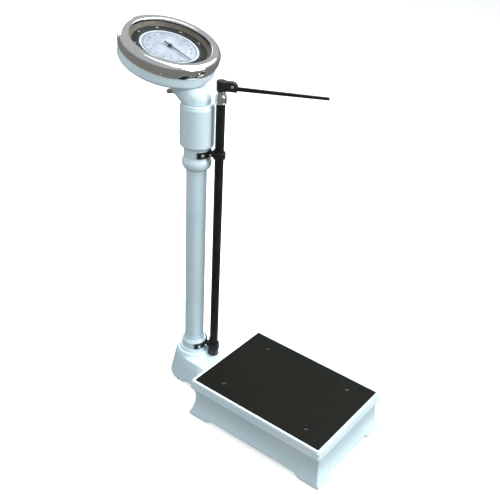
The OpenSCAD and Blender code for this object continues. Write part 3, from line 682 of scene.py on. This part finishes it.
# Half an ellipse below the widest line and a gentler ogee above it
collarOutline += [(bulgeLook["root"] + (bulgeLook["reach"] - bulgeLook["root"] - 0.1) * cos(radians(turn)),
                   bulgeZ + bulgeLook["drop"] * sin(radians(turn))) for turn in range(-82, 1, 6)]
collarOutline += [(collarR + spread + spread * cos(pi * step / 10) - 0.05,
                   bulgeZ + bulgeLook["above"] * step / 10)
                  for step in range(1, 10)]
collarOutline += [(collarR, bulgeZ + bulgeLook["above"]), (collarR, collarHigh.z)]
keepPiece(turnedShape(collarOutline), "column_bulge", "stand", enamelCase, columnAt,
          ["column_collar"])

sleeveLow, sleeveHigh = boxOf("head_sleeve")
sleeveLook = {"radius": sleeveHigh.x - columnX, "flat": 38.4, "lip": 7.0, "blend": 1.5}
sleeveR, sleeveZ, sleeveTop = sleeveLook["radius"], sleeveLow.z, sleeveHigh.z
lip = sleeveLook["lip"]
sleeveOutline = [(tubeR + 0.02, sleeveZ)] + arc(sleeveR - lip, sleeveZ + lip, lip, -85, 0, 10)
sleeveOutline += (arc(sleeveR - 2.2, sleeveTop - 9.6, 2.2, 0, 42, 4)
                  + arc(35.8, sleeveTop - 2.0, 2.0, 42, 90, 4))
sleeveOutline += [(26.5, sleeveTop), (26.5, tubeHigh.z), (tubeR + 0.02, tubeHigh.z),
                  (tubeR + 0.02, tubeHigh.z - 8), (29, tubeHigh.z - 10), (29, sleeveZ + 12),
                  (tubeR + 0.02, sleeveZ + 10)]
flatDepth = 20
sleeve = cutAway(turnedShape(sleeveOutline),
                 [blockShape((90, flatDepth, 220), (0, -sleeveLook["flat"] - flatDepth / 2, sleeveZ + 50))])
roundEdges(sleeve, sleeveLook["blend"], 5, 18,
           lambda edge: all(abs(point.co.y + sleeveLook["flat"]) < 0.01 for point in edge.verts)
           and abs(edge.verts[0].co.z - edge.verts[1].co.z) > 20)
keepPiece(sleeve, "dial_sleeve", "stand", enamelCase, columnAt @ Matrix.Rotation(clampTurn, 4, "Z"),
          ["head_sleeve"], 30)

neckLook = {"voxel": 1.4 * mm, "smoothing": 14, "behind": 12.0, "backWall": 4.0}
neck = castCopy("head_neck", neckLook["voxel"], neckLook["smoothing"], columnY + neckLook["behind"],
                neckLook["backWall"])
keepPiece(neck, "dial_neck", "stand", enamelCase, replaces=["head_neck"], sharp=70, turnOut=False)


# Dial head

print("dial head")
caseLook = {"radius": 110.7, "back": -54.0, "floor": -51.5, "inner": 105.3, "opening": (38, 66)}
caseR, caseBack, caseFloor, caseInner = (caseLook[key] for key in ("radius", "back", "floor", "inner"))
caseOutline = [(0, caseBack)] + arc(caseR - 10, caseBack + 10, 10, -90, 0, 14)
caseOutline += [(caseR, -27), (caseR - 0.4, -26), (107.8, -26), (107.8, -17), (caseInner, -17),
                (caseInner, -44), (98, caseFloor), (0, caseFloor)]
case = cutAway(turnedShape(caseOutline, 160), [blockShape((*caseLook["opening"], 8), (0, -71, caseBack + 1))])
keepPiece(case, "dial_case", "stand", enamelCase, headAt, ["head_case"])

bezelLook = {"radius": 115.0, "bulge": 13.0, "opening": 92.2, "top": 4.0, "seat": 108.0}
bezelR, bulge, opening, crown, seat = (
    bezelLook[key] for key in ("radius", "bulge", "opening", "top", "seat"))
bezelOutline = [(seat, -26), (bezelR - 3.2, -26), (bezelR - 2.7, -25.6), (bezelR - 0.3, -18)]
bezelOutline += arc(bezelR - bulge, -9.2, bulge, 0, 84, 22)
bezelOutline += [(99, crown), (95.5, crown - 0.05), (93.6, crown - 0.4), (92.6, crown - 1.1),
                 (opening, crown - 2.2)]
bezelOutline += [(opening, -1), (96.3, -1), (96.3, -3.8), (seat, -3.8)]
keepPiece(turnedShape(bezelOutline, 192), "chrome_bezel", "stand", chrome, headAt, ["head_bezel"])

bezelScrewAt = Matrix.Translation((bezelR - 1.1, 0, -21)) @ Matrix.Rotation(pi / 2, 4, "Y")
bezelScrews = [moved(slottedHead(2.1, 1.3, 0.6), Matrix.Rotation(radians(turn), 4, "Z") @ bezelScrewAt)
               for turn in (35, 145, 215, 325)]
keepPiece(joined(bezelScrews), "bezel_screw_heads", "stand", brightScrew, headAt,
          ["bezel_screws"])

glassLook = {"radius": 96.0, "low": -3.5, "high": -1.1, "edge": 0.4}
glassR, glassEdge = glassLook["radius"], glassLook["edge"]
glassLow, glassHigh = glassLook["low"], glassLook["high"]
glassOutline = [(0, glassLow), (glassR - glassEdge, glassLow), (glassR, glassLow + glassEdge),
                (glassR, glassHigh - glassEdge), (glassR - glassEdge, glassHigh), (0, glassHigh)]
keepPiece(turnedShape(glassOutline, 160), "dial_window", "stand", glass, headAt, ["dial_glass"])

ringLook = {"inner": 62.0, "step": 67.6, "outer": 85.0, "rim": 107.5, "floor": -17.0, "shelf": -14.7,
            "top": -11.7}
shelf, ringTop = ringLook["shelf"], ringLook["top"]
ringOutline = [(ringLook["inner"], ringLook["floor"]), (ringLook["inner"], shelf), (ringLook["step"], shelf),
               (ringLook["step"] + 0.3, ringTop - 0.3), (ringLook["step"] + 0.6, ringTop),
               (ringLook["outer"], ringTop), (ringLook["outer"], shelf), (ringLook["rim"], shelf),
               (ringLook["rim"], ringLook["floor"])]
keepPiece(turnedShape(ringOutline, 160), "dial_surround", "stand", ringBlack, headAt,
          ["dial_ring"])
wellOutline = [(85.02, -14.68), (85.02, -11.8), (85.4, -11.4), (91.1, -4.2), (91.5, -3.8), (94, -3.8),
               (94, -14.68)]
keepPiece(turnedShape(wellOutline, 160), "dial_well", "stand", wellGrey, headAt)

plateOutline = [(3, shelf), (67.5, shelf), (67.6, -13.3), (67.4, -13.2), (3.2, -13.2), (3, -13.4)]
keepPiece(turnedShape(plateOutline, 160), "dial_face", "stand", dialSilver, headAt,
          ["dial_plate"])


inkHalf = 0.04


def radialMarks(turns, inner, outer, width, z):
    # Printed strokes that point at the dial's shaft
    strokes = []
    for turn in turns:
        stroke = blockShape((outer - inner, width, 2 * inkHalf), ((inner + outer) / 2, 0, z))
        strokes.append(moved(stroke, Matrix.Rotation(turn, 4, "Z")))
    return joined(strokes)


def ringLine(radius, width, z):
    outline = [(radius, z - inkHalf), (radius + width, z - inkHalf), (radius + width, z + inkHalf),
               (radius, z + inkHalf)]
    return turnedShape(outline, 120)


def figure(text, size, radius, turn, z):
    # A number standing on its circle with its top outwards
    curve = bpy.data.curves.new("figure", "FONT")
    curve.body = text
    curve.size = size
    curve.align_x = "CENTER"
    curve.align_y = "CENTER"
    curve.extrude = inkHalf
    # A little bolder than the font draws it
    curve.offset = 0.1
    curve.resolution_u = 3
    holder = bpy.data.objects.new("figure", curve)
    bpy.context.scene.collection.objects.link(holder)
    ready = holder.evaluated_get(bpy.context.evaluated_depsgraph_get())
    shape = bmesh.new()
    shape.from_mesh(ready.to_mesh())
    bpy.data.objects.remove(holder)
    shape.transform(Matrix.Rotation(turn - pi / 2, 4, "Z") @ Matrix.Translation((0, radius, z)))
    return shape


scaleLook = {"top": 160, "sweep": 326.0, "outer": 61.0, "minor": 3.2, "major": 6.0, "figures": 49.5,
             "figureSize": 7.0, "redLine": 38.5}


def markTurn(value):
    # Zero is at the foot of the dial, where the pointer rests, and values run clockwise
    return radians(-90 - value * scaleLook["sweep"] / scaleLook["top"])


faceZ = -13.16
outer = scaleLook["outer"]
minor = [markTurn(value) for value in range(scaleLook["top"] + 1) if value % 5]
major = [markTurn(value) for value in range(0, scaleLook["top"] + 1, 5)]
darkPrint = [radialMarks(minor, outer - scaleLook["minor"], outer, 0.45, faceZ),
             radialMarks(major, outer - scaleLook["major"], outer, 0.9, faceZ), ringLine(outer, 1.1, faceZ)]
darkPrint += [figure(str(value), scaleLook["figureSize"], scaleLook["figures"], markTurn(value), faceZ)
              for value in range(0, scaleLook["top"] + 1, 10)]
keepPiece(joined(darkPrint), "dial_print", "stand", inkDark, headAt, turnOut=False)
redTurns = [markTurn(value) for value in range(0, scaleLook["top"] + 1, 20)]
redPrint = [ringLine(scaleLook["redLine"], 0.5, faceZ), radialMarks(redTurns, 33, 38.4, 0.8, faceZ)]
keepPiece(joined(redPrint), "dial_red_print", "stand", inkRed, headAt, turnOut=False)
outerScaleLook = {"height": -11.66, "marks": (70.0, 71.4), "figures": 77.5, "figureSize": 5.5}
ringZ = outerScaleLook["height"]
palePrint = [radialMarks([radians(turn) for turn in range(0, 360, 6)], *outerScaleLook["marks"], 0.6, ringZ)]
palePrint += [figure(str(value), outerScaleLook["figureSize"], outerScaleLook["figures"], markTurn(value),
                     ringZ)
              for value in range(0, scaleLook["top"], 20)]
keepPiece(joined(palePrint), "ring_print", "stand", inkPale, headAt, turnOut=False)

pointerLook = {"length": 66.0, "root": 2.2, "tip": 0.5, "tail": 17.0, "hub": 5.0}
pointerZ, pointerT = -9.6, 1.0
blade = flatShape([(-pointerLook["root"], 0), (-pointerLook["tip"], -pointerLook["length"] + 1.5),
                   (0, -pointerLook["length"]), (pointerLook["tip"], -pointerLook["length"] + 1.5),
                   (pointerLook["root"], 0), (1.7, 10), (2.6, 14), (1.6, pointerLook["tail"]),
                   (-1.6, pointerLook["tail"]), (-2.6, 14), (-1.7, 10)], pointerT)
roundEdges(blade, 0.18, 2)
hubR = pointerLook["hub"]
hub = turnedShape([(0, 0), (hubR, 0), (hubR, 1.6), (4.4, 2.2), (2.4, 2.35), (2.0, 2.6), (0, 2.6)], 48)
moved(blade, Matrix.Translation((0, 0, pointerZ)))
moved(hub, Matrix.Translation((0, 0, -10)))
keepPiece(joined([blade, hub]), "dial_hand", "pointer", pointerBlack, headAt,
          ["dial_pointer"])

knobLook = {"ball": 6.0, "neck": 3.8, "shank": 2.5}
knobPoint = jointPoint("zero_knob_turn")
shankLength = knobPoint.y - boxOf("zero_knob")[0].y
shankR, neckR = knobLook["shank"], knobLook["neck"]
knobOutline = [(0, -shankLength), (shankR - 0.3, -shankLength), (shankR, -shankLength + 0.5), (shankR, -8),
               (neckR - 0.2, -8), (neckR, -7.7), (neckR, -5.2)]
knobOutline += arc(0, 0, knobLook["ball"], -48, 82, 18) + [(0, knobLook["ball"])]
knobAt = Matrix.Translation(knobPoint) @ Matrix.Rotation(-pi / 2, 4, "X")
keepPiece(turnedShape(knobOutline, 64), "zero_knob_ball", "zero_knob", knobMetal, knobAt,
          ["zero_knob"])


# Height rod

print("height rod")
rodLow, rodHigh = boxOf("rod_tube")
rodR = (rodHigh.x - rodLow.x) / 2
rodBore = rodR - 1.15
rodOutline = [(rodBore, rodLow.z), (rodR, rodLow.z), (rodR, rodHigh.z - 0.4), (rodR - 0.3, rodHigh.z),
              (rodBore, rodHigh.z)]
keepPiece(turnedShape(rodOutline, 96), "rod_outer_tube", "stand", blackPaint, rodAt,
          ["rod_tube"])

cupLow, cupHigh = boxOf("rod_foot_cup")
cupR = (cupHigh.x - cupLow.x) / 2
cupOutline = [(0, cupLow.z), (cupR - 1.5, cupLow.z)] + arc(cupR - 1.5, cupLow.z + 1.5, 1.5, -80, 0, 5)
cupOutline += [(cupR, cupHigh.z - 5), (cupR - 0.5, cupHigh.z - 4.4)]
cupOutline += arc(cupR - 1.7, cupHigh.z - 1.2, 1.2, 0, 90, 5)
cupOutline += [(rodR + 0.05, cupHigh.z), (rodR + 0.05, rodLow.z), (0, rodLow.z)]
keepPiece(turnedShape(cupOutline, 96), "rod_cup", "stand", blackPlastic, rodAt,
          ["rod_foot_cup"])


def knurledCollar(node, bore, rows, columns, plain, depth):
    # Chrome collar with a diamond-cut band between two plain rims
    low, high = boxOf(node)
    radius = (high.x - low.x) / 2
    bandLow, bandHigh = low.z + plain, high.z - plain
    outline = [(bore, low.z + 0.3), (bore + 0.3, low.z), (radius - 0.9, low.z), (radius - 0.2, low.z + 0.7),
               (radius - 0.2, bandLow - 0.9), (radius - 0.9, bandLow - 0.3)]
    outline += [(radius, bandLow + (bandHigh - bandLow) * row / rows) for row in range(rows + 1)]
    outline += [(radius - 0.9, bandHigh + 0.3), (radius - 0.2, bandHigh + 0.9), (radius - 0.2, high.z - 0.7),
                (radius - 0.9, high.z), (bore + 0.3, high.z), (bore, high.z - 0.3)]
    collar = turnedShape(outline, columns)
    step = (bandHigh - bandLow) / rows
    for point in collar.verts:
        if bandLow - 0.01 <= point.co.z <= bandHigh + 0.01 and Vector(point.co.xy).length > radius - 0.1:
            row = round((point.co.z - bandLow) / step)
            column = round(atan2(point.co.y, point.co.x) / (2 * pi) * columns)
            if (row + column) % 2:
                point.co.xy *= (radius - depth) / radius
    return collar


collarOfRod = knurledCollar("rod_collar", 8.97, 16, 72, 3.2, 0.55)
keepPiece(collarOfRod, "knurled_collar", "rod_clamp", knurlChrome, rodAt, ["rod_collar"], 50)
collarOfMiddle = knurledCollar("middle_collar", 7.27, 6, 60, 1.8, 0.4)
keepPiece(collarOfMiddle, "small_collar", "middle_clamp", knurlChrome, rodAt, ["middle_collar"], 50)

for nodeName, pieceName, bodyName, bore in (("rod_middle", "middle_tube", "rod_middle", 7.6),
                                            ("rod_inner", "inner_tube", "rod_inner", 6.0)):
    low, high = boxOf(nodeName)
    radius = (high.x - low.x) / 2
    outline = [(bore, low.z), (radius - 0.3, low.z), (radius, low.z + 0.3), (radius, high.z - 0.3),
               (radius - 0.3, high.z), (bore, high.z)]
    keepPiece(turnedShape(outline, 96), pieceName, bodyName, chromeTube, rodAt, [nodeName])

bracketLook = {"strap": 3.5, "spread": 66.0, "ring": 14.5, "round": 0.9, "arm": (13.0, 12.0), "screwTurn": 44}


def softBand(inner, outer, low, high, radius):
    # Outline of a band's section with its corners rounded
    points = []
    for cx, cy, start in ((outer - radius, low + radius, -90), (outer - radius, high - radius, 0),
                          (inner + radius, high - radius, 90), (inner + radius, low + radius, 180)):
        points += arc(cx, cy, radius, start, start + 90, 3)
    return points


def bracketShape(ringR, height):
    half = height / 2
    rounding = bracketLook["round"]
    section = softBand(ringR + 0.05, ringR + bracketLook["strap"], -half, half, rounding)
    strap = bmesh.new()
    points = [strap.verts.new((x, 0, z)) for x, z in section]
    face = strap.faces.new(points)
    first = radians(-90 - bracketLook["spread"])
    strap.transform(Matrix.Rotation(first, 4, "Z"))
    bmesh.ops.spin(strap, geom=[face] + list(face.edges) + points, cent=(0, 0, 0), axis=(0, 0, 1),
                   angle=radians(2 * bracketLook["spread"]), steps=56)
    ring = turnedShape(softBand(rodR + 0.03, bracketLook["ring"], -half, half, rounding), 96)
    moved(ring, Matrix.Translation((0, -rodReach, 0)))
    inner, far = -ringR - 1.4, -rodReach + 12
    arm = blockShape((bracketLook["arm"][0], inner - far, bracketLook["arm"][1]), (0, (inner + far) / 2, 0))
    roundEdges(arm, 1.2, 3)
    return joined([strap, ring, arm])


wingLook = {"barrelAt": 21.5, "wingAt": 29.5, "pitch": 0.8, "root": 1.72, "crest": 1.98, "thickness": 3.0}


def wingShape(length, side):
    # Wing screw along X: barrel, thread and two rounded wings
    barrel = turnedShape([(0, 0), (4.0, 0), (4.5, 0.5), (4.5, 6.4), (3.9, 7.0), (3.2, 8.0), (0, 8.0)], 40)
    moved(barrel, Matrix.Translation((wingLook["barrelAt"], 0, 0)) @ Matrix.Rotation(pi / 2, 4, "Y"))
    pitch = wingLook["pitch"]
    crests = []
    for turn in range(int(length / pitch)):
        crests += [(wingLook["root"], turn * pitch), (wingLook["crest"], turn * pitch + pitch / 2)]
    thread = turnedShape([(0, 0)] + crests + [(1.7, length), (0, length)], 24)
    moved(thread, Matrix.Translation((side, 0, 0)) @ Matrix.Rotation(pi / 2, 4, "Y"))
    wing = flatShape([(2.2, -13), (2.5, -9), (1.9, -4.5), (2.2, 0), (1.9, 4.5), (2.5, 9), (2.2, 13),
                      (-2.2, 13), (-2.5, 9), (-1.9, 4.5), (-2.2, 0), (-1.9, -4.5), (-2.5, -9), (-2.2, -13)],
                     wingLook["thickness"])
    roundEdges(wing, 0.9, 3)
    moved(wing, Matrix.Translation((wingLook["wingAt"], 0, 0)) @ Matrix.Rotation(pi / 2, 4, "Y"))
    moved(wing, Matrix.Rotation(pi / 2, 4, "X"))
    return joined([barrel, thread, wing])


def screwTip(start):
    # Bright domed end of a clamp screw
    tip = turnedShape([(0, 0)] + arc(1.6, 1.4, 1.4, -80, 0, 5) + [(3.0, 3.0), (2.6, 3.4), (0, 3.4)], 32)
    return moved(tip, Matrix.Translation((start, 0, 0)) @ Matrix.Rotation(pi / 2, 4, "Y"))


for which, ringR in (("lower", 31.0), ("upper", 30.0)):
    low, high = boxOf(which + "_bracket")
    middle = (low.z + high.z) / 2
    clampAt = columnAt @ Matrix.Translation((0, 0, middle)) @ Matrix.Rotation(clampTurn, 4, "Z")
    keepPiece(bracketShape(ringR, high.z - low.z), which + "_rod_bracket", "stand", blackPaint,
              clampAt, [which + "_bracket"])
    for side in (-1, 1):
        screwPlace = (clampAt @ Matrix.Rotation(radians(bracketLook["screwTurn"] * side), 4, "Z")
                      @ Matrix.Translation((0, -ringR - bracketLook["strap"], 0))
                      @ Matrix.Rotation(pi / 2, 4, "X"))
        screwName = "%s_strap_screw_%s" % (which, "left" if side < 0 else "right")
        # The first of the four stands for the CAD node that holds them all
        stoodFor = ["bracket_screws"] if which == "lower" and side < 0 else []
        keepPiece(slottedHead(4.0, 1.9, 0.9), screwName, "stand", brightScrew, screwPlace,
                  stoodFor)

for which, turn in (("lower", 0), ("upper", 50)):
    screwPoint = jointPoint(which + "_wing_screw_turn")
    screwPlace = (Matrix.Translation(screwPoint) @ Matrix.Rotation(clampTurn, 4, "Z")
                  @ Matrix.Rotation(radians(turn), 4, "X"))
    keepPiece(wingShape(40, -11), which + "_wing_handle", which + "_wing_screw", blackPaint,
              screwPlace, [which + "_wing_screw"])
    keepPiece(screwTip(-12), which + "_screw_tip", which + "_wing_screw", brightScrew,
              screwPlace)


# Headpiece and arm

print("headpiece")
headpieceLook = {"voxel": 0.55 * mm, "smoothing": 4}
keepPiece(castCopy("arm_block", headpieceLook["voxel"], headpieceLook["smoothing"]), "head_block",
          "headpiece", blackPlastic, replaces=["arm_block"], sharp=70, turnOut=False)
pivotAt = Matrix.Translation(armPivot) @ Matrix.Rotation(armTurn, 4, "Z")
pivotParts = [moved(rodShape(2.45, 14.4, 32), Matrix.Rotation(pi / 2, 4, "Y"))]
for side in (-1, 1):
    headPlace = Matrix.Rotation(side * pi / 2, 4, "Y") @ Matrix.Translation((0, 0, 7.0))
    pivotParts.append(moved(slottedHead(3.5, 1.2, 0.8), headPlace))
keepPiece(joined(pivotParts), "pivot_screw", "headpiece", brightScrew, pivotAt,
          ["arm_pivot_screw"])

armLook = {"thickness": 6.0, "drop": 5.0, "tip": 3.0, "edge": 0.8}
armLow, armHigh = boxOf("measuring_arm")
armLength = Vector((armHigh.x - armPivot.x, armPivot.y - armLow.y)).length - 1.5
drop = armLook["drop"]
armOutline = ([(-1, -drop - 4.4), (-4, -drop - 3.4)] + arc(0, 0, 5, 205, 62, 12)
              + [(7, 0.6), (14, -drop + 4.2)])
armOutline += arc(armLength - armLook["tip"], -drop, armLook["tip"], 78, -70, 8)
arm = flatShape(armOutline, armLook["thickness"])
arm = cutAway(arm, [rodShape(2.55, 40, 32)])
roundEdges(arm, armLook["edge"], 3)
moved(arm, Matrix.Rotation(-pi / 2, 4, "Z") @ Matrix.Rotation(pi / 2, 4, "X")
      @ Matrix.Translation((0, 0, -armLook["thickness"] / 2)))
keepPiece(arm, "measuring_bar", "measuring_arm", blackPaint, pivotAt, ["measuring_arm"])


# Works inside, which keep their CAD shapes

print("inner works")
kept = {
    castGrey: ["long_lever", "short_lever", "pan_bearings"]
    + ["fulcrum_bracket_%d" % number for number in range(1, 5)],
    zinc: ["lever_shackle", "draw_rod", "column_bolts", "case_screws", "sleeve_screws", "pinion_shaft"],
    brass: ["spring_yoke", "spring_hanger", "movement_frame", "movement_bridge", "bell_crank", "dial_rack"],
    springSteel: ["spring_1", "spring_2"],
}
for material, nodeNames in kept.items():
    for nodeName in nodeNames:
        for slot in frame["nodes"][nodeName].material_slots:
            slot.material = material
